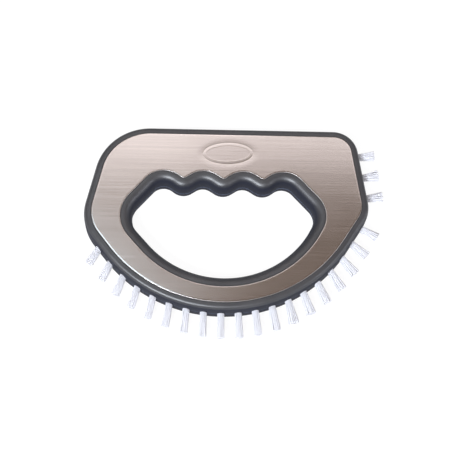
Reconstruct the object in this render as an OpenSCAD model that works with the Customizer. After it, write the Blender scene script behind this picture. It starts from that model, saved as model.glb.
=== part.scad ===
/* [Body] */
// Thickness from the back face to the front of the steel plate
body_t = 18; // [14:0.5:24]
// Width of the soft bumper round the outside
bumper_w = 4; // [3.5:0.1:7]
// Width of the soft grip lining the hand opening
liner_w = 6; // [3.5:0.1:7]
// How far the soft rims stay below the plate and the back face
rim_drop = 0.3; // [0.1:0.1:1]
// Squareness of the bumper in section, where 2 is a plain oval
bumper_square = 6; // [2:0.1:8]
// Squareness of the grip in section, where 2 is a plain oval
liner_square = 2.8; // [2:0.05:6]
// Height of the flat top edge above the drawing centre
top_y = 52.2; // [48:0.1:60]
// Radius of the top corner on the bristled side
corner_r = 10.5; // [5:0.5:14]
// Radius of the large top corner on the bare side
shoulder_r = 27.5; // [22:0.5:32]
// Radius of the lower corner on the bristled side
side_r = 14; // [10:0.5:16]
// Radius of the lower corner on the bare side
bare_r = 21; // [17:0.5:25]
// Radius of the long arc along the bristled bottom
belly_r = 79; // [70:0.5:90]

/* [Hand opening] */
// Distance from one finger groove to the next
finger_pitch = 22.5; // [21.5:0.1:23]
// Radius of a finger groove in the steel plate
finger_r = 12.6; // [10:0.1:13.5]
// How much rounder the two end grooves are
end_ease = 0.7; // [0:0.1:1.6]
// Radius of the ridge between two finger grooves in the steel plate
ridge_r = 3; // [2:0.1:4.5]
// Height of the drawn peak over a finger groove
groove_y = 31.8; // [31:0.1:33]
// Height of the drawn dip at a ridge
ridge_y = 24.3; // [24:0.1:26]
// Radius of the long arc at the bottom of the opening
palm_r = 61; // [58:0.5:61]
// Radius of the opening's end on the bristled side
bristled_end_r = 16.2; // [14:0.2:18]
// Radius of the opening's end on the bare side
bare_end_r = 18.2; // [14:0.2:20]

/* [Steel plate] */
// Thickness of the steel plate
plate_t = 1; // [0.6:0.1:1.5]
// Dark gap between the plate's edge and the soft rims
plate_gap = 0.3; // [0.1:0.05:0.6]
// Thickness of the adhesive film under the plate
film_t = 0.2; // [0.1:0.05:0.4]
// How far the film stays inside the plate's edges
film_inset = 1; // [0.5:0.1:2]
// Length of the stamped oval
oval_l = 28.5; // [20:0.1:34]
// Width of the stamped oval
oval_w = 13.4; // [10:0.1:15]
// Depth of the stamping along the oval's outline
oval_depth = 0.5; // [0.3:0.05:0.8]
// Depth of the oval's raised middle
oval_middle = 0.2; // [0.1:0.05:0.3]
// Width of the step from the outline up to the raised middle
oval_step = 1.1; // [0.6:0.1:2]
// How far the plate slopes down towards the ends of the oval
dish_l = 4.4; // [2:0.2:6]
// How far the plate slopes down towards the sides of the oval
dish_w = 3.2; // [1:0.2:3.2]

/* [Core] */
// Height of the tongue that the soft rims are moulded round
tongue_h = 6.8; // [6:0.2:9]
// How far the tongue reaches into each rim
tongue_d = 1.6; // [1:0.1:2]
// Gap left between the core and what is moulded or laid on it
mould_gap = 0.05; // [0.02:0.01:0.1]
// Solid width kept along the outer edge, where the tufts are seated
rim_wall = 9; // [8.5:0.5:12]
// Wall kept round the hand opening
grip_wall = 2.6; // [2:0.1:4]
// Thickness of the back wall under the pockets
floor_t = 3; // [2:0.2:5]
// Thickness of the ribs between the pockets
rib_t = 1.8; // [1.2:0.1:3]
// Number of ribs in a full turn
rib_count = 20; // [12:1:28]

/* [Bristles] */
// Number of tufts along the curved bottom
row_count = 19; // [9:2:19]
// Distance between the tufts of the curved row, along the rim
row_pitch = 9.5; // [9:0.05:10]
// Number of tufts on the straight side
side_count = 3; // [1:1:3]
// Distance between the tufts on the straight side
side_pitch = 12.8; // [9:0.1:13]
// Distance of the first of them past the end of the top corner
side_start = 0.9; // [0:0.1:3]
// Diameter of a tuft where it is folded in its hole
tuft_d = 4; // [3:0.1:4.5]
// Length outside the rim of the middle tuft
tuft_mid_l = 14.1; // [8:0.1:20]
// Length outside the rim of the end tufts and of those on the side
tuft_end_l = 10.3; // [8:0.1:20]
// Spread of a curved-row tuft at its tip, over its root
row_flare = 1.16; // [1:0.02:1.5]
// Spread of a straight-side tuft at its tip, over its root
side_flare = 1.42; // [1:0.02:1.6]
// Depth of a tuft's root below the rim's surface
root_depth = 9.5; // [7.5:0.1:10]
// Clearance of a tuft in the core and the bumper, all round
tuft_gap = 0.1; // [0.05:0.01:0.2]
// Width of the flat wire anchor that holds each tuft
anchor_w = 5.2; // [4.8:0.1:5.6]
// Height of the anchor along the tuft
anchor_h = 1.8; // [1:0.1:2.5]
// Thickness of the anchor
anchor_t = 0.4; // [0.3:0.05:0.6]

/* [Hidden] */
mid_z = body_t / 2;
core_top = body_t - plate_t - film_t;
wide_arc = 40;         // an arc of at least this radius is drawn in finer steps
wide_step = 3;         // degrees between the points of a wide arc
arc_step = 10;         // degrees between the points of any other arc
sharp_r = 0.02;        // radius of a corner that counts as sharp
reach = 400;           // longer than the whole brush
eps = 0.02;            // overshoot of a cut past the face it opens

// The long arc of the bristled bottom, from the straight side over to the bare side
belly_from = [64.1, -11.1];
belly_to = [-64.7, -16.4];
belly_half = (belly_to - belly_from) / 2;
belly_hub = belly_from + belly_half
    - left(unit(belly_half)) * sqrt(belly_r * belly_r - belly_half * belly_half);
belly_start = right(unit(belly_from - belly_hub));
belly_finish = right(unit(belly_to - belly_hub));

// Corners of the body's outline, clockwise from the bare top corner, each [x, y, radius].
// The straight side and the bare side are lines through two points each, which meet the belly's ends.
bare_top = [-65, top_y];
bare_foot = [-77.1, 1];
side_top = [69.3, top_y];
side_foot = [76.2, 7];
belly = 3;             // the corner whose arc carries the curved row of tufts
body_corners = [
    [each bare_top, shoulder_r],
    [each side_top, corner_r],
    [each meet(side_top, side_foot - side_top, belly_from, belly_start), side_r],
    [each meet(belly_from, belly_start, belly_to, belly_finish), belly_r],
    [each meet(bare_top, bare_foot - bare_top, belly_to, belly_finish), bare_r],
];

// Corners of the hand opening, clockwise from the finger groove over the bare side
finger_x = -2.2;       // middle ridge between the four grooves
groove_swing = 1.5;    // the two end grooves open wider, towards the sides
groove_lift = 2.2;     // and their drawn peaks are higher
end_x = 1.5 * finger_pitch + groove_swing;
opening_corners = [
    [finger_x - end_x, groove_y + groove_lift, finger_r + end_ease],
    [finger_x - finger_pitch, ridge_y, ridge_r],
    [finger_x - 0.5 * finger_pitch, groove_y, finger_r],
    [finger_x, ridge_y, ridge_r],
    [finger_x + 0.5 * finger_pitch, groove_y, finger_r],
    [finger_x + finger_pitch, ridge_y, ridge_r],
    [finger_x + end_x, groove_y + groove_lift, finger_r + end_ease],
    [58.3, 6.3, bristled_end_r],
    [9.8, -82.4, palm_r],
    [-65, 2.6, bare_end_r],
];

// The curved row: its tufts stand farther apart and turn more towards its ends. Places are
// measured along the rim, bearings in degrees, and a full row's end tufts lie row_half from its middle.
row_middle = 74.1;     // from the start of the belly's arc to the middle tuft
row_half = 85.5;
row_stretch = 3.8;     // how much farther out than that the end tufts move
row_aim = -87.3;       // bearing of the middle tuft
row_fan = 27.2;        // how far an even fan turns the end tufts from it
row_splay = 17;        // what they turn beyond that
row_skew = 10.4;       // and how far both turn towards the bristled side
side_corner = 1;       // the corner after which the straight side starts

// The stamped oval: its centre on the plate, its turn, and its shape, where 2 is a plain oval
oval_at = [0.3, 40.4];
oval_turn = 2.2;
oval_square = 1.9;
oval_sides = 64;
dish_steps = 4;        // rings of the plate's slope towards the oval
// Hub of the ribs, in the middle of the hand opening, and the lowest pocket
rib_hub = [-2, 0];
pocket_low = -14;

tuft_sides = 16;
tuft_lobes = 8;
tuft_flute = 0.12;     // depth of the flutes at the tip, as a share of its radius
tuft_ragged = 0.4;     // how far single filaments end above or below the cut

// Vectors
function unit(v) = v / norm(v);
function left(v) = [-v[1], v[0]];
function right(v) = [v[1], -v[0]];
function bearing(v) = atan2(v[1], v[0]);
function spoke(r, a) = r * [cos(a), sin(a)];
function cross2(a, b) = a[0] * b[1] - a[1] * b[0];
function meet(p, along_p, q, along_q) =
    p + along_p * cross2(q - p, along_q) / cross2(along_p, along_q);

// A point at angle a of an oval in [x, y] of that half size, whose squareness 2 is a plain oval
function signed_pow(v, power) = sign(v) * pow(abs(v), power);
function on_oval(half, square, a) =
    [half[0] * signed_pow(cos(a), 2 / square), half[1] * signed_pow(sin(a), 2 / square)];

// Outlines with rounded corners. A bend is negative where the outline turns
// clockwise, and left of its edges lies the outside.
function corner(c, k) = c[(k + len(c)) % len(c)];
function spot(c, k) = [corner(c, k)[0], corner(c, k)[1]];
function radius(c, k) = corner(c, k)[2];
function edge(c, k) = unit(spot(c, k + 1) - spot(c, k));
function bend(c, k) =
    let (a = edge(c, k - 1), b = edge(c, k)) atan2(cross2(a, b), a * b);
function cut_back(c, k) = radius(c, k) * tan(abs(bend(c, k)) / 2);
function arc_from(c, k) = spot(c, k) - edge(c, k - 1) * cut_back(c, k);
function arc_to(c, k) = spot(c, k) + edge(c, k) * cut_back(c, k);
function hub(c, k) = arc_from(c, k) + left(edge(c, k - 1)) * sign(bend(c, k)) * radius(c, k);
function arc_len(c, k) = radius(c, k) * abs(bend(c, k)) * PI / 180;
function run_len(c, k) = norm(arc_from(c, k + 1) - arc_to(c, k));

// Points of a rounded outline. An outline and its grown copies have the same number of points.
function steps(c, k) = ceil(abs(bend(c, k)) / (radius(c, k) < wide_arc ? arc_step : wide_step));
function rounded(c) = [
    for (k = [0:len(c) - 1])
        let (n = steps(c, k), start = bearing(arc_from(c, k) - hub(c, k)))
            for (i = [0:n]) hub(c, k) + spoke(radius(c, k), start + bend(c, k) * i / n)
];

// The same outline moved outwards by d, or inwards where d is negative. A corner that is
// moved past its own radius comes out sharp.
function grown(c, d) = [
    for (k = [0:len(c) - 1])
        let (a = left(edge(c, k - 1)), b = left(edge(c, k)), p = spot(c, k) + (a + b) * d / (1 + a * b))
            [p[0], p[1], max(radius(c, k) - sign(bend(c, k)) * d, sharp_r)]
];

// A place at distance s past the start of corner k's arc, as [x, y, outward bearing]
function place_on(c, k, s) =
    let (bow = arc_len(c, k), run = run_len(c, k))
        s < 0 ? place_on(c, k - 1, s + arc_len(c, k - 1) + run_len(c, k - 1))
        : s < bow ? place_on_arc(c, k, s / bow)
        : s < bow + run ? place_on_run(c, k, s - bow)
        : place_on(c, k + 1, s - bow - run);
function place_on_arc(c, k, f) =
    let (a = bearing(arc_from(c, k) - hub(c, k)) + bend(c, k) * f, p = hub(c, k) + spoke(radius(c, k), a))
        [p[0], p[1], a];
function place_on_run(c, k, s) =
    let (p = arc_to(c, k) + edge(c, k) * s) [p[0], p[1], bearing(left(edge(c, k)))];

// Section of a soft rim of width w, from the back round to the front and then down its
// seat on the core, with the groove for the tongue. Side is 1 outside the core, -1 inside.
rim_half_h = mid_z - rim_drop;
function rim_section(w, square) = concat(
    [for (a = [-90:10:90]) [0, mid_z] + on_oval([w, rim_half_h], square, a)],
    [for (p = [[0, 1], [1, 1], [1, -1], [0, -1]])
        [p[0] * (tongue_d + mould_gap), mid_z + p[1] * (tongue_h / 2 + mould_gap)]]
);
function on_side(section, side) = [
    for (i = [0:len(section) - 1])
        let (p = section[side > 0 ? i : len(section) - 1 - i]) [side * p[0], p[1]]
];

// The tufts' places on the rim, each [x, y, bearing of its axis, length, flare]
rim_line = grown(body_corners, bumper_w);
function row_tuft(i) =
    let (
        out = (i - (row_count - 1) / 2) * row_pitch,
        off = out / row_half,
        p = place_on(rim_line, belly, row_middle - out - row_stretch * pow(off, 3)),
        lean = row_aim + row_fan * off + row_skew * off * off + row_splay * pow(off, 3)
    )
        [p[0], p[1], lean, tuft_mid_l + (tuft_end_l - tuft_mid_l) * off * off, row_flare];
function side_tuft(i) =
    let (s = arc_len(rim_line, side_corner) + side_start + (side_count - 1 - i) * side_pitch,
        p = place_on(rim_line, side_corner, s))
        [p[0], p[1], p[2], tuft_end_l, side_flare];
TUFTS = concat(
    [for (i = [0:row_count - 1]) row_tuft(i)],
    [for (i = [0:side_count - 1]) side_tuft(i)]
);
function tip_sides(t) = [
    for (s = [-1, 1])
        [t[0], t[1]] + spoke(t[3], t[2]) + s * left(spoke(tuft_d / 2 * t[4], t[2]))
];

// Middle of the whole brush seen from above, which becomes the origin
OUTER_POINTS = concat(rounded(rim_line), [for (t = TUFTS) for (p = tip_sides(t)) p]);
xs = [for (p = OUTER_POINTS) p[0]];
ys = [for (p = OUTER_POINTS) p[1]];
origin = -[(min(xs) + max(xs)) / 2, (min(ys) + max(ys)) / 2, 0];

function tuft_name(i) = str("tuft_", i < 9 ? "0" : "", i + 1);

// A flat ring between the body's outline and the hand opening, each moved by a margin
module ring(outer_by, inner_by) {
    difference() {
        polygon(rounded(grown(body_corners, outer_by)));
        polygon(rounded(grown(opening_corners, inner_by)));
    }
}

// A soft rim: the outline repeated, moved outwards and up, at each point of a closed section
module rim(c, section) {
    n = len(rounded(c));
    m = len(section);
    polyhedron(
        [for (s = section) for (p = rounded(grown(c, s[0]))) [p[0], p[1], s[1]]],
        [for (j = [0:m - 1]) for (i = [0:n - 1])
            let (next = (j + 1) % m, along = (i + 1) % n)
                [j * n + i, j * n + along, next * n + along, next * n + i]]
    );
}

// Puts its children on a tuft's axis, with +X along the tuft and zero at the rim's surface
module on_tuft(t) {
    translate([t[0], t[1], mid_z]) rotate(t[2]) children();
}

// A round hole along each tuft, from its root out through the rim
module tuft_holes(length) {
    for (t = TUFTS) on_tuft(t)
        translate([-root_depth - tuft_gap, 0, 0]) rotate([0, 90, 0])
            cylinder(length, d = tuft_d + 2 * tuft_gap, $fn = 48);
}

// The flat wire anchor across a tuft's root, grown by a margin
module anchor(margin = 0) {
    translate([-root_depth - tuft_gap - margin, -anchor_t / 2 - margin, -anchor_w / 2 - margin])
        cube([anchor_h + 2 * margin, anchor_t + 2 * margin, anchor_w + 2 * margin]);
}

// Ring of points round the oval, grown along and across it
function oval_ring(along, across) = [
    for (i = [0:oval_sides - 1])
        on_oval([oval_l / 2 + along, oval_w / 2 + across], oval_square, 360 * i / oval_sides)
];
module on_plate_oval() {
    translate(oval_at) rotate(oval_turn) children();
}

// Oval on the plate, as a flat shape
module oval(by = 0) {
    on_plate_oval() polygon(oval_ring(by, by));
}

// Pockets moulded into the front of the core, divided by ribs
module pockets() {
    difference() {
        intersection() {
            ring(-rim_wall, grip_wall);
            translate([-reach / 2, pocket_low]) square([reach, reach]);
        }
        translate(rib_hub)
            for (i = [0:rib_count - 1]) rotate(360 / rib_count * (i + 0.5))
                translate([0, -rib_t / 2]) square([reach, rib_t]);
        oval(rib_t);
    }
}

module core() {
    color("#26262a") translate(origin) difference() {
        union() {
            linear_extrude(core_top) ring(-mould_gap, mould_gap);
            translate([0, 0, mid_z - tongue_h / 2])
                linear_extrude(tongue_h) ring(tongue_d, -tongue_d);
        }
        translate([0, 0, floor_t]) linear_extrude(body_t) pockets();
        translate([0, 0, core_top - oval_depth - mould_gap])
            linear_extrude(body_t) oval(mould_gap);
        tuft_holes(root_depth + bumper_w);
        for (t = TUFTS) on_tuft(t) anchor(mould_gap);
    }
}

module front_plate() {
    color("#c9c4c0") translate(origin + [0, 0, body_t - plate_t]) difference() {
        union() {
            linear_extrude(plate_t) ring(-plate_gap, plate_gap);
            translate([0, 0, -film_t - oval_depth]) linear_extrude(plate_t) oval();
        }
        on_plate_oval() oval_dish();
    }
}

// What the stamping takes off the plate: a gentle slope down to the oval's outline, and a step
// up to its flat middle. It is lofted through rings, each [along, across, height].
module oval_dish() {
    rings = concat(
        [[-oval_step, -oval_step, plate_t - oval_middle], [0, 0, plate_t - oval_depth]],
        [for (i = [1:dish_steps])
            let (f = i / dish_steps) [dish_l * f, dish_w * f, plate_t - oval_depth * pow(1 - f, 2)]],
        [[dish_l, dish_w, plate_t + eps]]
    );
    polyhedron(
        concat(
            [[0, 0, rings[0][2]]],
            [for (g = rings) for (p = oval_ring(g[0], g[1])) [p[0], p[1], g[2]]],
            [[0, 0, plate_t + eps]]
        ),
        lofted_faces(oval_sides, len(rings))
    );
}

// Faces of a loft through rings of n points each, closed at both ends by a fan of triangles
// round a middle point: the first ring's is point 0, and the last ring's comes after all rings
function lofted_faces(n, rings) = concat(
    [for (i = [0:n - 1]) [0, 1 + i, 1 + (i + 1) % n]],
    [for (j = [0:rings - 2]) for (i = [0:n - 1])
        let (a = 1 + j * n, b = a + n, next = (i + 1) % n) each
            [[a + i, b + i, b + next], [a + i, b + next, a + next]]],
    [for (i = [0:n - 1])
        let (a = 1 + (rings - 1) * n) [rings * n + 1, a + (i + 1) % n, a + i]]
);

module plate_adhesive() {
    color("#b8a878") translate(origin + [0, 0, core_top]) linear_extrude(film_t) difference() {
        ring(-plate_gap - film_inset, plate_gap + film_inset);
        oval(film_inset);
    }
}

module outer_bumper() {
    color("#3a3b40") translate(origin) difference() {
        rim(body_corners, on_side(rim_section(bumper_w, bumper_square), 1));
        tuft_holes(root_depth + 2 * bumper_w);
    }
}

module grip_liner() {
    color("#3a3b40") translate(origin)
        rim(opening_corners, on_side(rim_section(liner_w, liner_square), -1));
}

module anchor_staples() {
    color("#b9b19a") translate(origin)
        for (t = TUFTS) on_tuft(t) anchor();
}

// One tuft: filaments folded round the anchor, spreading into a fluted, cut end
module tuft(t, seed) {
    r = tuft_d / 2;
    rings = [[-root_depth, r, 0], [0, r, 0], [t[3] * 0.5, r * (1 + t[4]) / 2, 0.5], [t[3], r * t[4], 1]];
    color("#eceaf2") translate(origin) on_tuft(t) difference() {
        rotate([0, 90, 0]) polyhedron(
            concat(
                [[0, 0, -root_depth]],
                [for (g = rings) for (i = [0:tuft_sides - 1])
                    let (
                        a = 360 * i / tuft_sides,
                        flute = 1 - tuft_flute * g[2] * (1 - cos(tuft_lobes * a)) / 2,
                        ragged = g[2] == 1 ? tuft_ragged * sin(137 * (i + seed * 5)) : 0
                    )
                        [g[1] * flute * cos(a), g[1] * flute * sin(a), g[0] + ragged]],
                [[0, 0, t[3]]]
            ),
            lofted_faces(tuft_sides, len(rings))
        );
        anchor(mould_gap);
    }
}

core();
front_plate();
plate_adhesive();
outer_bumper();
grip_liner();
anchor_staples();
for (i = [0:len(TUFTS) - 1])
    tuft(TUFTS[i], i);
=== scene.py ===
"""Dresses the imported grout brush: steel face plate, soft rims, bristle tufts and hidden parts.

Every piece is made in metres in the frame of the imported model. The steel plate, the two soft
rims and the tufts are modelled here and stand for their plain solids; the moulded core, the
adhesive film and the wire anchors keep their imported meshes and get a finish.
"""

import logging
import math
import random
from dataclasses import dataclass, field
from enum import Enum
from typing import Sequence, Union

import bpy
from mathutils import Matrix, Vector


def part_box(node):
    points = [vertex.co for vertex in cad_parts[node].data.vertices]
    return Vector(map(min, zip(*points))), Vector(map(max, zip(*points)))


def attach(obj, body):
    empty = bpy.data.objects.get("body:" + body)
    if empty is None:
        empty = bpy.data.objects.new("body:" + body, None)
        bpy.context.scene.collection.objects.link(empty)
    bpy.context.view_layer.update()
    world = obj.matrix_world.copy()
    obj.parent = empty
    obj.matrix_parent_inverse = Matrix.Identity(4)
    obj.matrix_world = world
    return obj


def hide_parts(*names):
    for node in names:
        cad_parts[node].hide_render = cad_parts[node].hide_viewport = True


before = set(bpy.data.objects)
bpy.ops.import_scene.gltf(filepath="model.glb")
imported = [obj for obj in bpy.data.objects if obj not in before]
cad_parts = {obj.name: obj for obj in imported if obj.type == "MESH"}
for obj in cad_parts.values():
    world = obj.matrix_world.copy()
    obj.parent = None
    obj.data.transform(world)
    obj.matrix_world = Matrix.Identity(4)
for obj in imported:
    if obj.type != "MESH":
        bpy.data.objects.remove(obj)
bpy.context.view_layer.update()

MM = 0.001
TOLERANCE = 0.01 * MM
LOG = logging.getLogger("grout_brush")

Number = Union[float, int]
Pair = tuple[float, float]
Colour = tuple[float, float, float]
Piece = bpy.types.Object


# Outlines of the body and of the hand opening


@dataclass(frozen=True)
class Corner:
    """A rounded corner of an outline: where its straight edges would meet, and its radius."""

    x: float
    y: float
    radius: float


@dataclass(frozen=True)
class Outline:
    """A closed outline of straight runs and tangent arcs, clockwise as seen from the front."""

    corners: tuple[Corner, ...]

    def corner(self, k: int) -> Corner:
        """Corner k, counted round the outline."""
        return self.corners[k % len(self.corners)]

    def spot(self, k: int) -> Vector:
        """The sharp point of corner k."""
        return Vector((self.corner(k).x, self.corner(k).y))

    def edge(self, k: int) -> Vector:
        """Unit direction from corner k to the next one."""
        return (self.spot(k + 1) - self.spot(k)).normalized()

    def outward(self, k: int) -> Vector:
        """Unit direction away from the outline's inside, square to the edge after corner k."""
        along = self.edge(k)
        return Vector((-along.y, along.x))

    def bend(self, k: int) -> float:
        """Turn at corner k in radians, negative where the outline turns clockwise."""
        before, after = self.edge(k - 1), self.edge(k)
        return math.atan2(before.x * after.y - before.y * after.x, before.dot(after))

    def cut_back(self, k: int) -> float:
        """Distance from the sharp point of corner k to either end of its arc."""
        return self.corner(k).radius * math.tan(abs(self.bend(k)) / 2)

    def arc_from(self, k: int) -> Vector:
        """Start of the arc at corner k."""
        return self.spot(k) - self.edge(k - 1) * self.cut_back(k)

    def arc_to(self, k: int) -> Vector:
        """End of the arc at corner k."""
        return self.spot(k) + self.edge(k) * self.cut_back(k)

    def hub(self, k: int) -> Vector:
        """Centre of the arc at corner k."""
        side = math.copysign(self.corner(k).radius, self.bend(k))
        return self.arc_from(k) + self.outward(k - 1) * side

    def arc_length(self, k: int) -> float:
        """Length of the arc at corner k."""
        return self.corner(k).radius * abs(self.bend(k))

    def run_length(self, k: int) -> float:
        """Length of the straight run after corner k."""
        return (self.arc_from(k + 1) - self.arc_to(k)).length

    def grown(self, by: float) -> "Outline":
        """The outline moved outwards.

        Args:
            by: Distance, or a negative one to move it inwards.

        Returns:
            The moved outline, with its radii changed to match.
        """
        moved = []
        for k, corner in enumerate(self.corners):
            a, b = self.outward(k - 1), self.outward(k)
            spot = self.spot(k) + (a + b) * by / (1 + a.dot(b))
            radius = corner.radius - math.copysign(by, self.bend(k))
            moved.append(Corner(spot.x, spot.y, radius))
        return Outline(tuple(moved))

    def place(self, k: int, distance: float) -> tuple[Vector, float]:
        """A place on the outline.

        Args:
            k: Corner from whose arc the distance is counted.
            distance: Distance along the outline from the start of that arc.

        Returns:
            The point and the bearing that points outwards there, in radians.
        """
        bow, run = self.arc_length(k), self.run_length(k)
        if distance < 0:
            return self.place(k - 1, distance + self.arc_length(k - 1) + self.run_length(k - 1))
        if distance < bow:
            spoke = self.arc_from(k) - self.hub(k)
            bearing = math.atan2(spoke.y, spoke.x) + self.bend(k) * distance / bow
            return self.hub(k) + polar(self.corner(k).radius, bearing), bearing
        if distance < bow + run:
            out = self.outward(k)
            return self.arc_to(k) + self.edge(k) * (distance - bow), math.atan2(out.y, out.x)
        return self.place(k + 1, distance - bow - run)

    def extent(self, steps: int = 120) -> tuple[Vector, Vector]:
        """The box round the outline.

        Args:
            steps: Number of places that are tried on each arc.

        Returns:
            The box's lowest and highest corner.
        """
        points = []
        for k in range(len(self.corners)):
            length = self.arc_length(k)
            points += [self.place(k, length * i / steps)[0] for i in range(steps)]
        return (
            Vector((min(p.x for p in points), min(p.y for p in points))),
            Vector((max(p.x for p in points), max(p.y for p in points))),
        )


def polar(length: float, bearing: float) -> Vector:
    """A plane vector of that length and bearing."""
    return Vector((length * math.cos(bearing), length * math.sin(bearing)))


def turned_right(vector: Vector) -> Vector:
    """A plane vector turned a quarter clockwise."""
    return Vector((vector.y, -vector.x))


def cross(a: Vector, b: Vector) -> float:
    """Cross product of two plane vectors."""
    return a.x * b.y - a.y * b.x


def meet(p: Vector, along_p: Vector, q: Vector, along_q: Vector) -> Vector:
    """Point where the line through p meets the line through q."""
    return p + along_p * (cross(q - p, along_q) / cross(along_p, along_q))


@dataclass(frozen=True)
class Drawing:
    """The driving sizes that the pieces share, in the drawing's own place."""

    body_thickness: float = 18 * MM
    plate_thickness: float = 1 * MM
    plate_gap: float = 0.3 * MM
    rim_drop: float = 0.3 * MM
    tongue_height: float = 6.8 * MM
    tongue_depth: float = 1.6 * MM
    mould_gap: float = 0.05 * MM
    outer_rim_width: float = 4 * MM
    outer_rim_squareness: float = 4.6
    rim_allowance: float = 0.03 * MM
    grip_width: float = 6 * MM
    grip_squareness: float = 2.8
    top: float = 52.2 * MM
    bare_top: float = -65 * MM
    bare_foot: Pair = (-77.1 * MM, 1 * MM)
    side_top: float = 69.3 * MM
    side_foot: Pair = (76.2 * MM, 7 * MM)
    belly_from: Pair = (64.1 * MM, -11.1 * MM)
    belly_to: Pair = (-64.7 * MM, -16.4 * MM)
    belly_radius: float = 79 * MM
    shoulder_radius: float = 27.5 * MM
    corner_radius: float = 10.5 * MM
    side_radius: float = 14 * MM
    bare_radius: float = 21 * MM
    middle_ridge: float = -2.2 * MM
    finger_pitch: float = 22.5 * MM
    groove_radius: float = 12.6 * MM
    end_groove_radius: float = 13.3 * MM
    ridge_radius: float = 3 * MM
    groove_peak: float = 31.8 * MM
    ridge_dip: float = 24.3 * MM
    end_groove_swing: float = 1.5 * MM
    end_groove_lift: float = 2.2 * MM
    bristled_end: Corner = Corner(58.3 * MM, 6.3 * MM, 16.2 * MM)
    palm: Corner = Corner(9.8 * MM, -82.4 * MM, 61 * MM)
    bare_end: Corner = Corner(-65 * MM, 2.6 * MM, 18.2 * MM)
    place: Vector = field(default_factory=lambda: Vector((0, 0)))

    @classmethod
    def in_frame(cls) -> "Drawing":
        """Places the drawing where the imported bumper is.

        Returns:
            The drawing, in the frame's place.
        """
        low, high = (Vector(corner).to_2d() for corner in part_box("outer_bumper"))
        drawn_low, drawn_high = cls().body().grown(cls.outer_rim_width).extent()
        return cls(place=(low + high - drawn_low - drawn_high) / 2)

    @property
    def middle_height(self) -> float:
        """Height of the plane in which the tufts stand."""
        return self.body_thickness / 2

    def body(self) -> Outline:
        """Outline of the moulded body, clockwise from the bare top corner.

        The straight side and the bare side are lines through two points each, and run on into
        lines that touch the ends of the belly's arc.

        Returns:
            The outline, in the frame's place.
        """
        start, end = Vector(self.belly_from), Vector(self.belly_to)
        half = (end - start) / 2
        rise = math.sqrt(self.belly_radius ** 2 - half.length_squared)
        hub = start + half + turned_right(half.normalized()) * rise
        from_start, to_end = turned_right(start - hub), turned_right(end - hub)
        bare_top, side_top = Vector((self.bare_top, self.top)), Vector((self.side_top, self.top))
        side_run = Vector(self.side_foot) - side_top
        bare_run = Vector(self.bare_foot) - bare_top
        corners = (
            (bare_top, self.shoulder_radius),
            (side_top, self.corner_radius),
            (meet(side_top, side_run, start, from_start), self.side_radius),
            (meet(start, from_start, end, to_end), self.belly_radius),
            (meet(bare_top, bare_run, end, to_end), self.bare_radius),
        )
        return self.placed([Corner(spot.x, spot.y, radius) for spot, radius in corners])

    def opening(self) -> Outline:
        """Outline of the hand opening, clockwise from the groove on the bare side.

        Returns:
            The outline, in the frame's place.
        """
        pitch, middle = self.finger_pitch, self.middle_ridge
        peak, dip = self.groove_peak, self.ridge_dip
        end_x, end_peak = 1.5 * pitch + self.end_groove_swing, peak + self.end_groove_lift
        corners = (
            Corner(middle - end_x, end_peak, self.end_groove_radius),
            Corner(middle - pitch, dip, self.ridge_radius),
            Corner(middle - 0.5 * pitch, peak, self.groove_radius),
            Corner(middle, dip, self.ridge_radius),
            Corner(middle + 0.5 * pitch, peak, self.groove_radius),
            Corner(middle + pitch, dip, self.ridge_radius),
            Corner(middle + end_x, end_peak, self.end_groove_radius),
            self.bristled_end,
            self.palm,
            self.bare_end,
        )
        return self.placed(corners)

    def placed(self, corners: Sequence[Corner]) -> Outline:
        """The corners moved from the drawing's place to the frame's."""
        dx, dy = self.place
        return Outline(tuple(Corner(c.x + dx, c.y + dy, c.radius) for c in corners))


# Bench work: the mesh operators that the pieces share


def deselect_all() -> None:
    """Leaves no object selected, so that an operator acts on the new piece alone."""
    bpy.ops.object.select_all(action="DESELECT")


def take_up(piece: Piece) -> None:
    """Makes a piece the only selected and active one.

    Args:
        piece: The piece.
    """
    deselect_all()
    piece.select_set(True)
    bpy.context.view_layer.objects.active = piece


def lay_points(name: str, points: Sequence[Vector], closed: bool) -> Piece:
    """Lays out a line of edges, as the start of a sweep.

    Args:
        name: Name of the new object.
        points: The line's points in order.
        closed: Whether the last point joins the first.

    Returns:
        The object, active, in edit mode, with all of it selected.
    """
    deselect_all()
    spare = 0 if closed else 1
    bpy.ops.mesh.primitive_circle_add(vertices=len(points) + spare, radius=1, location=(0, 0, 0))
    piece = bpy.context.object
    piece.name = piece.data.name = name
    for vertex, point in zip(piece.data.vertices, points):
        vertex.co = point
    bpy.ops.object.mode_set(mode="EDIT")
    bpy.ops.mesh.select_mode(type="VERT")
    if not closed:
        bpy.ops.mesh.select_all(action="DESELECT")
        bpy.ops.object.mode_set(mode="OBJECT")
        piece.data.vertices[len(points)].select = True
        bpy.ops.object.mode_set(mode="EDIT")
        bpy.ops.mesh.delete(type="VERT")
    bpy.ops.mesh.select_all(action="SELECT")
    return piece


@dataclass(frozen=True)
class SweepSteps:
    """How finely a sweep follows its outline."""

    chord: float = 1.3 * MM
    turn: float = math.radians(5)
    stride: float = 5 * MM

    def on_arc(self, length: float, angle: float) -> int:
        """Number of steps on an arc of that length and turn."""
        return max(2, math.ceil(length / self.chord), math.ceil(abs(angle) / self.turn))

    def on_run(self, length: float) -> int:
        """Number of steps on a straight run of that length."""
        return max(1, math.ceil(length / self.stride))


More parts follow.
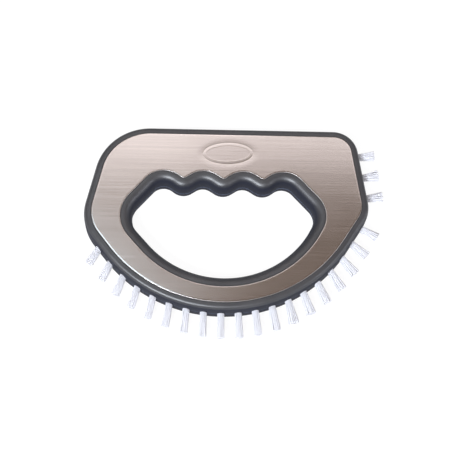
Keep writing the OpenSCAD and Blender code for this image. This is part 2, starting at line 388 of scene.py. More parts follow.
def sweep(
    name: str,
    outline: Outline,
    section: Sequence[Pair],
    closed: bool,
    steps: SweepSteps = SweepSteps(),
) -> Piece:
    """Carries a section round an outline: spun at each corner and extruded along each run.

    Args:
        name: Name of the new object.
        outline: The outline that the section follows.
        section: Points of the section, each its distance outwards and its height.
        closed: Whether the section is a closed loop, which gives a closed ring.
        steps: How finely the outline is followed.

    Returns:
        The swept ring, in object mode, with its normals outwards.
    """
    start, out = outline.arc_from(0), outline.outward(-1)
    points = [Vector((*(start + out * far), high)) for far, high in section]
    piece = lay_points(name, points, closed)
    for k in range(len(outline.corners)):
        bend, hub = outline.bend(k), outline.hub(k)
        longest = max(abs(far) for far, _ in section) + outline.corner(k).radius
        bpy.ops.mesh.spin(
            steps=steps.on_arc(abs(bend) * longest, bend),
            angle=-bend,
            center=(hub.x, hub.y, 0),
            axis=(0, 0, 1),
        )
        run = outline.run_length(k)
        strides = steps.on_run(run)
        stride = outline.edge(k) * run / strides
        for _ in range(strides):
            bpy.ops.mesh.extrude_region_move(
                TRANSFORM_OT_translate={"value": (stride.x, stride.y, 0)}
            )
    bpy.ops.mesh.select_all(action="SELECT")
    bpy.ops.mesh.remove_doubles(threshold=TOLERANCE)
    bpy.ops.mesh.normals_make_consistent(inside=False)
    bpy.ops.object.mode_set(mode="OBJECT")
    return piece


def smooth(piece: Piece, angle: float = math.radians(35)) -> None:
    """Shades a piece smooth, apart from edges sharper than an angle."""
    take_up(piece)
    bpy.ops.object.shade_smooth_by_angle(angle=angle)


def join(name: str, pieces: Sequence[Piece]) -> Piece:
    """Joins pieces into one.

    Args:
        name: Name of the joined piece.
        pieces: The pieces, of which the first one is kept.

    Returns:
        The joined piece.
    """
    take_up(pieces[0])
    for piece in pieces:
        piece.select_set(True)
    bpy.ops.object.join()
    pieces[0].name = pieces[0].data.name = name
    return pieces[0]


# Shader bench


class Wire:
    """An output socket of a finish, with the arithmetic that the finishes use."""

    def __init__(self, sheet: "FinishSheet", socket: bpy.types.NodeSocket) -> None:
        """Wraps a socket of a sheet's node tree."""
        self.sheet = sheet
        self.socket = socket

    def maths(self, operation: str, *values: Union["Wire", Number]) -> "Wire":
        """A Math node with this wire and further values."""
        inputs = dict(enumerate((self, *values)))
        return self.sheet.node("ShaderNodeMath", {"operation": operation}, inputs)

    def __add__(self, other: Union["Wire", Number]) -> "Wire":
        """This value plus another."""
        return self.maths("ADD", other)

    __radd__ = __add__

    def __mul__(self, other: Union["Wire", Number]) -> "Wire":
        """This value times another."""
        return self.maths("MULTIPLY", other)

    __rmul__ = __mul__

    def __sub__(self, other: Union["Wire", Number]) -> "Wire":
        """This value less another."""
        return self.maths("SUBTRACT", other)

    def __rsub__(self, other: Number) -> "Wire":
        """A number less this value."""
        return self.sheet.node("ShaderNodeMath", {"operation": "SUBTRACT"}, {0: other, 1: self})


class FinishSheet:
    """The nodes of a material or of the world, added by type, settings and inputs."""

    def __init__(self, owner: bpy.types.Material | bpy.types.World) -> None:
        """Clears the nodes of what the sheet is for.

        Args:
            owner: A material, or the world.
        """
        self.owner = owner
        self.owner.use_nodes = True
        self.tree = self.owner.node_tree
        self.tree.nodes.clear()

    @classmethod
    def of_material(cls, name: str) -> "FinishSheet":
        """Starts a new material."""
        return cls(bpy.data.materials.new(name))

    def node(
        self,
        kind: str,
        settings: dict[str, object] | None = None,
        inputs: dict[int | str, object] | None = None,
        output: int | str = 0,
    ) -> Wire:
        """Adds a node.

        Args:
            kind: Type of the node.
            settings: Its settings, which are made first. A ramp's stops are under "stops".
            inputs: Values or wires of its sockets, by name or number.
            output: The output that is returned.

        Returns:
            The chosen output as a wire, which holds nothing where a node has no output.
        """
        made = self.tree.nodes.new(kind)
        for key, value in (settings or {}).items():
            if key == "stops":
                self.set_stops(made.color_ramp, value)
            else:
                setattr(made, key, value)
        for key, value in (inputs or {}).items():
            socket = made.inputs[key]
            if isinstance(value, Wire):
                self.tree.links.new(value.socket, socket)
            else:
                socket.default_value = value
        return Wire(self, made.outputs[output] if made.outputs else None)

    @staticmethod
    def set_stops(ramp: bpy.types.ColorRamp, stops: Sequence[tuple[float, tuple]]) -> None:
        """Gives a colour ramp its stops.

        Args:
            ramp: The ramp.
            stops: For each stop, its place from 0 to 1 and its colour.
        """
        while len(ramp.elements) < len(stops):
            ramp.elements.new(0.5)
        for element, (place, colour) in zip(ramp.elements, stops):
            element.position = place
            element.color = (*colour, 1)

    def place(self) -> Wire:
        """Object coordinates, which are the frame's own, in metres."""
        return self.node("ShaderNodeTexCoord", output="Object")

    def part(self, vector: Wire, axis: str) -> Wire:
        """One part of a vector, X, Y or Z."""
        return self.node("ShaderNodeSeparateXYZ", inputs={0: vector}, output=axis)

    def stretched(self, vector: Wire, scale: tuple[float, float, float]) -> Wire:
        """Coordinates multiplied along each axis, so that a pattern is drawn out."""
        return self.node("ShaderNodeMapping", inputs={"Vector": vector, "Scale": scale})

    def noise(self, vector: Wire, scale: float, detail: float = 2, roughness: float = 0.5) -> Wire:
        """Soft random pattern from 0 to 1, with its middle at 0.5."""
        inputs = {"Vector": vector, "Scale": scale, "Detail": detail, "Roughness": roughness}
        return self.node("ShaderNodeTexNoise", {}, inputs, "Fac")

    def remap(self, value: Wire, span: Pair, to: Pair) -> Wire:
        """Carries a value smoothly from one span to another and holds it at the ends.

        Args:
            value: The value.
            span: The span that it comes from.
            to: The span that it is carried to.

        Returns:
            The carried value.
        """
        inputs = {
            "Value": value,
            "From Min": span[0],
            "From Max": span[1],
            "To Min": to[0],
            "To Max": to[1],
        }
        return self.node("ShaderNodeMapRange", {"interpolation_type": "SMOOTHSTEP"}, inputs)

    def blend(self, share: Union[Wire, float], low: object, high: object) -> Wire:
        """A colour between two others: low where the share is 0, high where it is 1."""
        inputs = {"Factor": share, 6: as_colour(low), 7: as_colour(high)}
        return self.node("ShaderNodeMix", {"data_type": "RGBA"}, inputs, 2)

    def shades(self, share: Union[Wire, float], colour: Colour, factors: Pair) -> Wire:
        """A colour's shades, from its first factor where the share is 0 to its second at 1."""
        dark, light = (tuple(part * factor for part in colour) for factor in factors)
        return self.blend(share, dark, light)

    def uneven(self, middle: float, *patterns: tuple[Wire, float]) -> Wire:
        """A middle value moved up and down by patterns, each with the reach that it is given."""
        least = middle - sum(reach for _, reach in patterns) / 2
        return sum((pattern * reach for pattern, reach in patterns), start=least)

    def bump(self, height: Wire, depth: float, strength: float = 1) -> Wire:
        """A normal raised by a pattern from 0 to 1, where 1 stands for a depth in metres."""
        inputs = {"Height": height, "Distance": depth, "Strength": strength}
        return self.node("ShaderNodeBump", {}, inputs)

    def surface(self, **inputs: object) -> None:
        """Ends the sheet with a Principled shader.

        Args:
            inputs: Values or wires of its sockets, whose names are written as keywords.
        """
        shader = self.node("ShaderNodeBsdfPrincipled", inputs={
            socket_name(key): value for key, value in inputs.items()
        })
        self.node("ShaderNodeOutputMaterial", inputs={"Surface": shader})


def socket_name(key: str) -> str:
    """A Principled socket's name, from a keyword such as base_color."""
    return key.replace("_", " ").title().replace("Ior", "IOR")


def as_colour(value: object) -> object:
    """A colour with its fourth part, or a wire as it is."""
    return value if isinstance(value, Wire) else (*value, 1)


@dataclass(frozen=True)
class BrushedSteel:
    """Stainless sheet with a straight brushed grain along the body."""

    colour: Colour = (0.665, 0.62, 0.605)
    shades: Pair = (0.9, 1.05)
    shade_span: Pair = (0.3, 0.7)
    fine_grain: tuple[float, float, float] = (22, 2700, 22)
    broad_grain: tuple[float, float, float] = (5, 900, 5)
    fine_share: float = 0.6
    cloud_scale: float = 45
    grain_height: float = 0.004 * MM
    roughness: float = 0.17
    grain_roughness: float = 0.1
    cloud_roughness: float = 0.04
    edge_roughness: float = 0.5
    edge_facing: Pair = (0.75, 0.97)

    def material(self) -> bpy.types.Material:
        """Builds the material: two grains of brush lines, and duller rounded edges.

        Returns:
            The material.
        """
        sheet = FinishSheet.of_material("brushed_steel")
        place = sheet.place()
        fine = sheet.noise(sheet.stretched(place, self.fine_grain), 1, detail=3, roughness=0.65)
        broad = sheet.noise(sheet.stretched(place, self.broad_grain), 1, detail=3, roughness=0.6)
        cloud = sheet.noise(place, self.cloud_scale)
        grain = fine * self.fine_share + broad * (1 - self.fine_share)
        tone = sheet.remap(grain, self.shade_span, (0, 1))
        facing = sheet.part(sheet.node("ShaderNodeNewGeometry", output="Normal"), "Z")
        ground = sheet.remap(facing, self.edge_facing, (self.edge_roughness, 0))
        grained = ((fine, self.grain_roughness), (cloud, self.cloud_roughness))
        sheet.surface(
            base_color=sheet.shades(tone, self.colour, self.shades),
            metallic=1.0,
            roughness=sheet.uneven(self.roughness, *grained) + ground,
            normal=sheet.bump(fine, self.grain_height),
        )
        return sheet.owner


@dataclass(frozen=True)
class SoftRubber:
    """Soft moulding of the two rims: matt on the walls, with a gloss from handling on the faces;
    the walls' navy tint is painted shade.
    """

    colour: Colour = (0.015, 0.015, 0.019)
    shades: Pair = (0.85, 1.18)
    # Painted shade: a navy colour for the walls, where the real rubber is one colour all over
    painted_wall_shade: Colour = (0.016, 0.018, 0.03)
    # Painted glint: a pale blue line along the parting line, where the real rubber is dark
    painted_line_glint: Colour = (0.11, 0.13, 0.19)
    line_height: float = 9 * MM
    line_width: float = 0.5 * MM
    line_core: float = 0.3
    cloud_scale: float = 60
    pore_scale: float = 2600
    pore_depth: float = 0.01 * MM
    pore_strength: float = 0.5
    roughness: float = 0.72
    cloud_roughness: float = 0.1
    pore_roughness: float = 0.08
    # Heights over which the gloss rises and the painted wall shade gives way to the face colour
    sheen_and_shade_from: Pair = (15 * MM, 17.6 * MM)
    least_sheen: float = 0.5
    cloud_sheen: float = 0.6
    sheen_roughness: float = 0.43
    sheen_ior: float = 2.0
    ior: float = 1.35

    def material(self) -> bpy.types.Material:
        """Builds the material: a cloudy, porous skin, glossy above a height, with painted navy
        shade on the walls and a painted glint on the parting line.

        Returns:
            The material.
        """
        sheet = FinishSheet.of_material("soft_rubber")
        place = sheet.place()
        cloud = sheet.noise(place, self.cloud_scale, detail=3)
        pores = sheet.noise(place, self.pore_scale, roughness=0.6)
        height = sheet.part(place, "Z")
        # One share drives both the real gloss of the faces and the painted navy shade on the walls
        # below them
        sheen_and_wall_shade = sheet.remap(height, self.sheen_and_shade_from, (0, 1))
        # Mask of the painted glint along the parting line at mid-height
        off_line = (height - self.line_height).maths("ABSOLUTE")
        line_edge = (self.line_core * self.line_width, self.line_width / 2)
        line = sheet.remap(off_line, line_edge, (1, 0))
        cloudy_face = sheet.shades(cloud, self.colour, self.shades)
        # Painted shade: below the faces the skin takes the navy wall colour in place of the face
        # colour
        skin = sheet.blend(sheen_and_wall_shade, self.painted_wall_shade, cloudy_face)
        uneven = ((cloud, self.cloud_roughness), (pores, self.pore_roughness))
        sheet.surface(
            base_color=sheet.blend(line, skin, self.painted_line_glint),
            roughness=sheet.uneven(self.roughness, *uneven),
            coat_weight=sheen_and_wall_shade * (cloud * self.cloud_sheen + self.least_sheen),
            coat_roughness=self.sheen_roughness,
            coat_ior=self.sheen_ior,
            ior=self.ior,
            normal=sheet.bump(pores, self.pore_depth, self.pore_strength),
        )
        return sheet.owner


@dataclass(frozen=True)
class NylonBristle:
    """Milky filament, a little translucent."""

    colour: Colour = (0.91, 0.91, 0.955)
    shades: Pair = (0.93, 1)
    cloud_scale: float = 500
    roughness: float = 0.35
    cloud_roughness: float = 0.1
    milkiness: float = 0.5
    light_reach: float = 0.6 * MM
    ior: float = 1.53

    def material(self) -> bpy.types.Material:
        """Builds the material: a pale cloudy filament that light enters.

        Returns:
            The material.
        """
        sheet = FinishSheet.of_material("nylon_bristle")
        cloud = sheet.noise(sheet.place(), self.cloud_scale)
        sheet.surface(
            base_color=sheet.shades(cloud, self.colour, self.shades),
            roughness=sheet.uneven(self.roughness, (cloud, self.cloud_roughness)),
            subsurface_weight=self.milkiness,
            subsurface_radius=(1, 1, 1),
            subsurface_scale=self.light_reach,
            ior=self.ior,
        )
        return sheet.owner


@dataclass(frozen=True)
class MouldedPlastic:
    """Rigid moulding with a fine spark-eroded texture."""

    colour: Colour = (0.022, 0.022, 0.025)
    shades: Pair = (0.8, 1.25)
    grain_scale: float = 1500
    grain_depth: float = 0.02 * MM
    grain_strength: float = 0.6
    cloud_scale: float = 30
    roughness: float = 0.5
    unevenness: float = 0.1

    def material(self) -> bpy.types.Material:
        """Builds the material: an even grain on a faintly cloudy ground.

        Returns:
            The material.
        """
        sheet = FinishSheet.of_material("moulded_plastic")
        place = sheet.place()
        grain = sheet.noise(place, self.grain_scale, detail=3, roughness=0.6)
        cloud = sheet.noise(place, self.cloud_scale)
        uneven = ((cloud, self.unevenness), (grain, self.unevenness))
        sheet.surface(
            base_color=sheet.shades(cloud, self.colour, self.shades),
            roughness=sheet.uneven(self.roughness, *uneven),
            normal=sheet.bump(grain, self.grain_depth, self.grain_strength),
        )
        return sheet.owner


# Sub-assemblies


class RimSide(Enum):
    """Which way a soft rim bulges from the outline that it lines."""

    OUTSIDE = 1
    INSIDE = -1


@dataclass
class SoftRim:
    """A soft rim moulded round the core: a swept section with a seat for the core's tongue."""

    drawing: Drawing
    name: str
    node: str
    outline: Outline
    side: RimSide
    width: float
    squareness: float
    flash_height: float = 0.15 * MM
    flash_width: float = 0.5 * MM
    face_points: int = 40

    def section(self) -> list[Pair]:
        """The closed section, from the back over the face to the front and down the seat.

        Returns:
            The section's points, each its distance outwards and its height.
        """
        drawing = self.drawing
        half = drawing.middle_height - drawing.rim_drop
        power = 2 / self.squareness
        face = []
        for i in range(self.face_points + 1):
            turn = math.pi * (i / self.face_points - 0.5)
            far = self.width * max(0.0, math.cos(turn)) ** power
            high = math.copysign(half * abs(math.sin(turn)) ** power, turn)
            face.append((far, high))
        middle = self.face_points // 2
        proud = self.flash_height if self.side is RimSide.INSIDE else -self.flash_height
        flash = [
            (self.width, -self.flash_width),
            (self.width, -self.flash_width / 2),
            (self.width + proud, 0),
            (self.width, self.flash_width / 2),
            (self.width, self.flash_width),
        ]
        face = face[:middle] + flash + face[middle + 1:]
        deep = drawing.tongue_depth + drawing.mould_gap
        tall = drawing.tongue_height / 2 + drawing.mould_gap
        seat = [(0, tall), (deep, tall), (deep, -tall), (0, -tall)]
        return [
            (self.side.value * far, drawing.middle_height + high) for far, high in face + seat
        ]

    def build(self) -> Piece:
        """Sweeps the rim.

        Returns:
            The rim.
        """
        piece = sweep(self.name, self.outline, self.section(), closed=True)
        smooth(piece)
        return piece


@dataclass
class FacePlate:
    """The brushed steel ring with its stamped oval."""

    drawing: Drawing
    body: Outline
    opening: Outline
    border: float = 0.9 * MM
    edge_round: float = 0.2 * MM
    round_steps: int = 4
    sharpest_smooth: float = math.radians(40)
    oval_length: float = 28.5 * MM
    oval_width: float = 13.4 * MM
    oval_place: Pair = (0.3 * MM, 40.4 * MM)
    oval_turn: float = math.radians(2.2)
    oval_points: int = 144
    oval_fill_span: int = 26
    halo_reach: Pair = (4.4 * MM, 3.2 * MM)
    halo_steps: int = 14
    moat: float = 0.042 * MM
    medal: tuple[Pair, ...] = (
        (-0.15 * MM, 0.05 * MM),
        (-0.3 * MM, 0.044 * MM),
        (-0.5 * MM, 0.031 * MM),
        (-0.8 * MM, 0.022 * MM),
        (-1.2 * MM, 0.018 * MM),
        (-1.5 * MM, 0.018 * MM),
        (-1.62 * MM, 0.012 * MM),
        (-1.8 * MM, 0.012 * MM),
        (-1.92 * MM, 0.018 * MM),
        (-2.4 * MM, 0.018 * MM),
    )

    def edge_section(self, into: float) -> list[Pair]:
        """Section of one edge: from the back's border over the rounded side to the face's.

        Args:
            into: 1 where the sheet lies outwards of the outline, -1 where it lies inwards.

        Returns:
            The open section's points, each its distance outwards and its height.
        """
        high = self.drawing.body_thickness
        low, gap = high - self.drawing.plate_thickness, self.drawing.plate_gap
        points = [(gap + self.border, low)]
        for centre, start in ((low + self.edge_round, -90), (high - self.edge_round, 0)):
            for i in range(self.round_steps + 1):
                turn = math.radians(start + 90 * i / self.round_steps)
                far = gap + self.edge_round * (1 - math.cos(turn))
                points.append((far, centre + self.edge_round * math.sin(turn)))
        points.append((gap + self.border, high))
        return [(into * far, z) for far, z in points]

    def stamping_rings(self) -> list[tuple[float, float, float]]:
        """Rings of the stamping from its soft edge inwards.

        Returns:
            For each ring its growth along and across the oval, and its depth.
        """
        rings = []
        for i in range(self.halo_steps + 1):
            share = i / self.halo_steps
            along, across = self.halo_reach
            rings.append((along * (1 - share), across * (1 - share), self.moat * share ** 2))
        return rings + [(growth, growth, depth) for growth, depth in self.medal]

    def build(self) -> Piece:
        """Sweeps the two edges, stamps the oval and fills the face and the back.

        Returns:
            The plate.
        """
        outer = sweep("plate_outer_edge", self.body, self.edge_section(-1), closed=False)
        inner = sweep("plate_inner_edge", self.opening, self.edge_section(1), closed=False)
        plate = join("face_plate", [outer, inner, self.stamping()])
        face = self.drawing.body_thickness
        for level in (face, face - self.drawing.plate_thickness):
            self.fill_level(plate, level)
        take_up(plate)
        bpy.ops.object.mode_set(mode="EDIT")
        bpy.ops.mesh.select_all(action="SELECT")
        bpy.ops.mesh.normals_make_consistent(inside=False)
        bpy.ops.object.mode_set(mode="OBJECT")
        smooth(plate, self.sharpest_smooth)
        return plate

    def stamping_ring(self, along: float, across: float, depth: float) -> list[Vector]:
        """Points of one ring of the stamping.

        Args:
            along: The ring's growth along the oval.
            across: The ring's growth across the oval.
            depth: The ring's depth below the face.

        Returns:
            The points, in order round the oval.
        """
        centre = Vector(self.oval_place) + self.drawing.place
        height = self.drawing.body_thickness - depth
        half_length, half_width = self.oval_length / 2 + along, self.oval_width / 2 + across
        c, s = math.cos(self.oval_turn), math.sin(self.oval_turn)
        points = []
        for i in range(self.oval_points):
            turn = 2 * math.pi * i / self.oval_points
            x, y = half_length * math.cos(turn), half_width * math.sin(turn)
            points.append(Vector((centre.x + c * x - s * y, centre.y + s * x + c * y, height)))
        return points

    def stamping(self) -> Piece:
        """Extrudes the stamped oval ring by ring, from its soft edge to its middle.

        Returns:
            The stamping, with its soft edge open.
        """
        rings = self.stamping_rings()
        oval = lay_points("stamped_oval", self.stamping_ring(*rings[0]), closed=True)
        for sizes in rings[1:]:
            bpy.ops.mesh.extrude_region_move(TRANSFORM_OT_translate={"value": (0, 0, 0)})
            bpy.ops.object.mode_set(mode="OBJECT")
            fresh = [vertex for vertex in oval.data.vertices if vertex.select]
            for vertex, point in zip(fresh, self.stamping_ring(*sizes)):
                vertex.co = point
            bpy.ops.object.mode_set(mode="EDIT")
        bpy.ops.mesh.fill_grid(span=self.oval_fill_span)
        bpy.ops.object.mode_set(mode="OBJECT")
        return oval

    def fill_level(self, plate: Piece, level: float) -> None:
        """Fills the flat sheet between the open loops that lie at a level.

        Args:
            plate: The plate's object.
            level: Height of the loops.
        """
        take_up(plate)
        bpy.ops.object.mode_set(mode="EDIT")
        bpy.ops.mesh.select_mode(type="EDGE")
        bpy.ops.mesh.select_all(action="DESELECT")
        bpy.ops.mesh.select_non_manifold(
            extend=False, use_wire=False, use_boundary=True,
            use_multi_face=False, use_non_contiguous=False, use_verts=False,
        )
        bpy.ops.object.mode_set(mode="OBJECT")
        mesh = plate.data
        for edge in mesh.edges:
            heights = [mesh.vertices[i].co.z for i in edge.vertices]
            edge.select = edge.select and max(abs(z - level) for z in heights) < TOLERANCE
        bpy.ops.object.mode_set(mode="EDIT")
        bpy.ops.mesh.fill(use_beauty=True)
        bpy.ops.object.mode_set(mode="OBJECT")


@dataclass(frozen=True)
class TuftPlace:
    """Where a tuft stands on the rim's surface and points to, and how far it spreads and frays."""

    root: Vector
    bearing: float
    length: float
    spread: float
    fray: float


@dataclass
class BristleTufts:
    """The tufts of the curved row and of the straight side."""

    drawing: Drawing
    rim_line: Outline
    belly_corner: int = 3
    side_corner: int = 1
    row_count: int = 19
    row_pitch: float = 9.5 * MM
    row_middle: float = 74.1 * MM
    row_stretch: float = 3.8 * MM
    row_aim: float = math.radians(-87.3)
    row_fan: float = math.radians(27.2)
    row_skew: float = math.radians(10.4)
    row_splay: float = math.radians(17)
    side_count: int = 3
    side_pitch: float = 12.8 * MM
    side_start: float = 0.9 * MM
    diameter: float = 4 * MM
    middle_length: float = 14 * MM
    end_length: float = 10.2 * MM
    row_spread: float = 1.2
    fan_spread: float = 1.62
    fan_start: float = -0.05
    fan_reach: float = 0.4
    spread_variation: float = 0.04
    side_spread: float = 1.52
    flatness: float = 0.35
    thickening: float = 0.6
    swell_power: float = 1.2
    row_fray: float = 0.12 * MM
    side_fray: float = 0.34 * MM
    root_depth: float = 9.5 * MM
    anchor_height: float = 1.8 * MM
    filament: float = 0.46 * MM
    filament_pitch: float = 0.485 * MM
    pitch_variation: float = 0.02 * MM
    filament_sides: int = 6
    filament_steps: int = 7
    cut_depth: float = 0.045
    cut_margin: float = 0.006
    cut_slope: float = 0.25
    cut_share: float = 0.999
    stray_lean: float = 1.3 * MM
    stray_tufts: tuple[int, ...] = (18, 19, 20, 21)
    sharpest_smooth: float = math.radians(65)
    seed: int = 700

    def row_place(self, off: float) -> TuftPlace:
        """Place of a tuft of the curved row.

        Args:
            off: The tuft's place in the row, from -1 on the bare side to 1.

        Returns:
            Its root, bearing, length, spread and fray.
        """
        pitches = off * (self.row_count - 1) / 2
        along = self.row_middle - pitches * self.row_pitch - self.row_stretch * off ** 3
        root, _ = self.rim_line.place(self.belly_corner, along)
        bearing = (
            self.row_aim + self.row_fan * off
            + self.row_skew * off ** 2 + self.row_splay * off ** 3
        )
        length = self.middle_length + (self.end_length - self.middle_length) * off * off
        widening = min(1.0, max(0.0, off - self.fan_start) / self.fan_reach)
        spread = self.row_spread + (self.fan_spread - self.row_spread) * widening
        return TuftPlace(root, bearing, length, spread, self.row_fray)

    def places(self) -> list[TuftPlace]:
        """Every tuft's place: the curved row from the bare side, then the straight side.

        Returns:
            The places in order.
        """
        half = (self.row_count - 1) / 2
        found = [self.row_place(i / half - 1) for i in range(self.row_count)]
        start = self.rim_line.arc_length(self.side_corner) + self.side_start
        for i in reversed(range(self.side_count)):
            root, bearing = self.rim_line.place(self.side_corner, start + i * self.side_pitch)
            found.append(
                TuftPlace(root, bearing, self.end_length, self.side_spread, self.side_fray)
            )
        return found

    def model_filament(self) -> Piece:
        """Models one straight filament from 0 to 1 along Z, in steps that let it bend.

        Returns:
            The filament.
        """
        deselect_all()
        bpy.ops.mesh.primitive_cylinder_add(
            vertices=self.filament_sides, radius=self.filament / 2, depth=1,
            location=(0, 0, 0.5), end_fill_type="NGON",
        )
        rod = bpy.context.object
        rod.name = rod.data.name = "filament"
        bpy.ops.object.transform_apply(location=True, rotation=False, scale=False)
        bpy.ops.object.mode_set(mode="EDIT")
        for i in range(1, self.filament_steps):
            bpy.ops.mesh.select_all(action="SELECT")
            bpy.ops.mesh.bisect(plane_co=(0, 0, i / self.filament_steps), plane_no=(0, 0, 1))
        bpy.ops.object.mode_set(mode="OBJECT")
        smooth(rod, self.sharpest_smooth)
        return rod

    def plant(
        self, rod: Piece, place: TuftPlace, spot: Vector, draw: random.Random, stray: bool
    ) -> Piece:
        """Copies a filament and sets it in a tuft.

        Args:
            rod: The straight filament.
            place: Where the tuft stands.
            spot: The filament's place in the tuft's round section.
            draw: Source of the tuft's unevenness.
            stray: Whether it leans out of the tuft.

        Returns:
            The copy, bent and in the frame's place.
        """
        fresh = rod.copy()
        fresh.data = rod.data.copy()
        bpy.context.scene.collection.objects.link(fresh)
        ahead = Vector((*polar(1, place.bearing), 0))
        aside = Vector((-ahead.y, ahead.x, 0))
        up = Vector((0, 0, 1))
        foot = Vector((*place.root, self.drawing.middle_height))
        bottom = self.anchor_height - self.root_depth
        reach = place.length * draw.uniform(1 - self.cut_depth, 1 - self.cut_margin)
        spread = place.spread * draw.gauss(1, self.spread_variation)
        sway = Vector((draw.gauss(0, place.fray), draw.gauss(0, place.fray)))
        if stray:
            sway += spot.normalized() * self.stray_lean
        slope = draw.uniform(-self.cut_slope, self.cut_slope)
        for vertex in fresh.data.vertices:
            x, y, share = vertex.co
            along = bottom + (reach - bottom) * share
            outside = max(0.0, along) / place.length
            swell = (spread - 1) * outside ** self.swell_power
            off = Vector((spot.x * (1 + swell), spot.y * (1 + swell * self.flatness)))
            off += sway * outside ** 2 + Vector((x, y)) * (1 + swell * self.thickening)
            if share > self.cut_share:
                along += slope * x
            vertex.co = foot + ahead * along + aside * off.x + up * off.y
        return fresh

    def packed_spots(self, draw: random.Random) -> list[Vector]:
        """Packs filaments in a tuft's round section, with a little unevenness.

        Args:
            draw: Source of the unevenness.

        Returns:
            The filaments' places round the tuft's middle.
        """
        pitch, variation = self.filament_pitch, self.pitch_variation
        limit = self.diameter / 2 - self.filament / 2
        rows = math.ceil(self.diameter / pitch)
        spots = []
        for j in range(-rows, rows + 1):
            for i in range(-rows, rows + 1):
                spot = Vector(((i + 0.5 * (j % 2)) * pitch, j * pitch * math.sqrt(3) / 2))
                if spot.length <= limit:
                    shift = Vector((draw.gauss(0, variation), draw.gauss(0, variation)))
                    spots.append(spot + shift)
        return spots

    def build(self) -> list[Piece]:
        """Makes every tuft from copies of one filament.

        Returns:
            The tufts in the order of their places.
        """
        rod = self.model_filament()
        tufts = []
        for i, place in enumerate(self.places()):
            draw = random.Random(self.seed + i)
            spots = self.packed_spots(draw)
            last = len(spots) - 1 if i in self.stray_tufts else -1
            filaments = [
                self.plant(rod, place, spot, draw, k == last) for k, spot in enumerate(spots)
            ]
            tufts.append(join(f"bristles_{i + 1:02d}", filaments))
        bpy.data.objects.remove(rod)
        return tufts


# Studio


@dataclass(frozen=True)
class SoftLamp:
    """A rectangular lamp that faces the brush: its place, width and height, watts and colour."""

    name: str
    place: tuple[float, float, float]
    size: Pair
    power: float
    colour: Colour

    def hang(self) -> None:
        """Adds the lamp to the scene."""
        data = bpy.data.lights.new(self.name, "AREA")
        data.shape, data.size, data.size_y = "RECTANGLE", *self.size
        data.energy, data.color = self.power, self.colour
        lamp = bpy.data.objects.new(self.name, data)
        bpy.context.scene.collection.objects.link(lamp)
        lamp.location = self.place
        lamp.rotation_euler = Vector(self.place).to_track_quat("Z", "Y").to_euler()


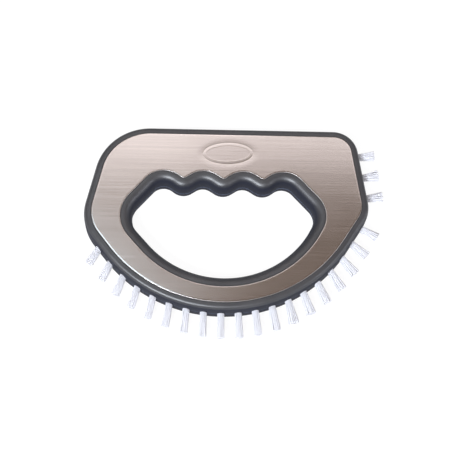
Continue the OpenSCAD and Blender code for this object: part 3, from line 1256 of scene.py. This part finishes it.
@dataclass
class Studio:
    """White floor, soft lamps, the surround and the camera."""

    drawing: Drawing
    tilt: float = math.radians(20)
    swing: float = math.radians(2.5)
    roll: float = math.radians(0.1)
    distance: float = 672 * MM
    focal_pixels: float = 1200
    image_pixels: float = 452
    pixel: float = 0.56 * MM
    aim_shift: Pair = (0.75, 0.1)
    sensor_width: float = 36
    clip: Pair = (0.05, 20)
    lamps: tuple[SoftLamp, ...] = (
        SoftLamp("key", (-0.5, -0.77, 1.15), (0.6, 0.4), 25, (0.87, 0.92, 1)),
        SoftLamp("fill", (0.85, -0.25, 0.75), (0.5, 0.5), 3, (0.86, 0.9, 1)),
        SoftLamp("strip", (0, 0.585, 1.05), (1.0, 0.2), 0.72, (1, 0.96, 0.97)),
        SoftLamp("back_card", (0, 0.8, 1.05), (0.25, 0.25), 0.3, (1, 0.96, 0.96)),
        SoftLamp("left_card", (-0.25, 0.2, 1.05), (0.25, 0.28), 0.52, (0.68, 0.89, 1)),
        SoftLamp("middle_card", (-0.13, 0.37, 1.05), (0.32, 0.3), 0.1, (1, 0.98, 0.98)),
    )
    horizon: tuple[float, Colour] = (0.4, (0.42, 0.42, 0.43))
    zenith: tuple[float, Colour] = (0.66, (0.21, 0.162, 0.13))
    floor_size: float = 6
    floor_shown: Colour = (0.14, 0.14, 0.14)
    floor_unseen: Colour = (0.55, 0.55, 0.55)
    floor_glow: float = 0.93

    def build(self) -> None:
        """Sets up the camera, the lamps, the world and the floor."""
        bpy.context.scene.view_settings.view_transform = "Standard"
        self.camera()
        for lamp in self.lamps:
            lamp.hang()
        self.world()
        self.floor()

    def camera(self) -> None:
        """Places the camera at the photographed angle, with the drawing's centre in the middle."""
        back = Vector((
            -math.sin(self.swing) * math.cos(self.tilt),
            -math.sin(self.tilt),
            math.cos(self.swing) * math.cos(self.tilt),
        )).normalized()
        right = Vector((0, 1, 0)).cross(back).normalized()
        up = back.cross(right)
        c, s = math.cos(self.roll), math.sin(self.roll)
        right, up = c * right + s * up, c * up - s * right
        aim = Vector((*self.drawing.place, self.drawing.middle_height))
        aim += right * (-self.aim_shift[0] * self.pixel) + up * (self.aim_shift[1] * self.pixel)
        data = bpy.data.cameras.new("camera")
        data.sensor_width = self.sensor_width
        data.lens = self.focal_pixels / self.image_pixels * data.sensor_width
        data.clip_start, data.clip_end = self.clip
        camera = bpy.data.objects.new("camera", data)
        bpy.context.scene.collection.objects.link(camera)
        turn = Matrix((right, up, back)).transposed().to_4x4()
        camera.matrix_world = Matrix.Translation(aim + back * self.distance) @ turn
        bpy.context.scene.camera = camera

    def world(self) -> None:
        """A soft surround, pale at the horizon and warm overhead, that the camera sees as white."""
        world = bpy.data.worlds.new("surround")
        bpy.context.scene.world = world
        sheet = FinishSheet(world)
        way = sheet.node("ShaderNodeTexCoord", output="Generated")
        height = sheet.part(way, "Z").maths("ABSOLUTE")
        stops = {"stops": (self.horizon, self.zenith)}
        tones = sheet.node("ShaderNodeValToRGB", stops, {0: height})
        surround = sheet.node("ShaderNodeBackground", inputs={"Color": tones})
        white = sheet.node("ShaderNodeBackground", inputs={"Color": (1, 1, 1, 1)})
        seen = sheet.node("ShaderNodeLightPath", output="Is Camera Ray")
        either = sheet.node("ShaderNodeMixShader", inputs={0: seen, 1: surround, 2: white})
        sheet.node("ShaderNodeOutputWorld", inputs={"Surface": either})

    def floor(self) -> None:
        """A floor that shows white, and still takes the brush's shadow."""
        deselect_all()
        bpy.ops.mesh.primitive_plane_add(size=self.floor_size, location=(0, 0, 0))
        floor = bpy.context.object
        floor.name = "floor"
        sheet = FinishSheet.of_material("studio_floor")
        rays = ("Is Camera Ray", "Is Glossy Ray", "Is Transmission Ray")
        seen, glossy, through = (sheet.node("ShaderNodeLightPath", output=ray) for ray in rays)
        shown = seen.maths("MAXIMUM", glossy.maths("MAXIMUM", through))
        cloth = sheet.blend(shown, self.floor_unseen, self.floor_shown)
        diffuse = sheet.node("ShaderNodeBsdfDiffuse", inputs={"Color": cloth})
        light = {"Color": (1, 1, 1, 1), "Strength": shown * self.floor_glow}
        glow = sheet.node("ShaderNodeEmission", inputs=light)
        both = sheet.node("ShaderNodeAddShader", inputs={0: diffuse, 1: glow})
        sheet.node("ShaderNodeOutputMaterial", inputs={"Surface": both})
        floor.data.materials.append(sheet.owner)


def dress(piece: Piece, material: bpy.types.Material, slot: str, *nodes: str) -> None:
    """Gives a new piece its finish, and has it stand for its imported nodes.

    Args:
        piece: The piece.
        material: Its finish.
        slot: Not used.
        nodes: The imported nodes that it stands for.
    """
    piece.data.materials.clear()
    piece.data.materials.append(material)
    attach(piece, "root")
    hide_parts(*nodes)
    LOG.info("%s: %d faces, for %s", piece.name, len(piece.data.polygons), ", ".join(nodes))


def finish_node(name: str, material: bpy.types.Material) -> None:
    """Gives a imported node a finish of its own.

    Args:
        name: Name of the node.
        material: Its finish.
    """
    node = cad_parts[name]
    node.data.materials.clear()
    node.data.materials.append(material)
    LOG.info("%s: packed mesh with a new finish", name)


def main() -> None:
    """Builds the studio and every piece of the brush."""
    logging.basicConfig(level=logging.INFO, format="%(message)s")
    drawing = Drawing.in_frame()
    body, opening = drawing.body(), drawing.opening()
    Studio(drawing).build()
    steel, rubber = BrushedSteel().material(), SoftRubber().material()
    plate = FacePlate(drawing, body, opening).build()
    dress(plate, steel, "steel_plate", "front_plate")
    outer = SoftRim(
        drawing, "outer_rim", "outer_bumper", body, RimSide.OUTSIDE,
        drawing.outer_rim_width - drawing.rim_allowance, drawing.outer_rim_squareness,
    )
    grip = SoftRim(
        drawing, "hand_grip", "grip_liner", opening, RimSide.INSIDE,
        drawing.grip_width, drawing.grip_squareness,
    )
    for rim in (outer, grip):
        dress(rim.build(), rubber, "soft_rubber", rim.node)
    nylon = NylonBristle().material()
    tufts = BristleTufts(drawing, body.grown(outer.width))
    for i, tuft in enumerate(tufts.build()):
        dress(tuft, nylon, "bristle", f"tuft_{i + 1:02d}")
    plastic = MouldedPlastic().material()
    finish_node("core", plastic)
    finish_node("plate_adhesive", plastic)
    finish_node("anchor_staples", steel)


if __name__ == "__main__":
    main()
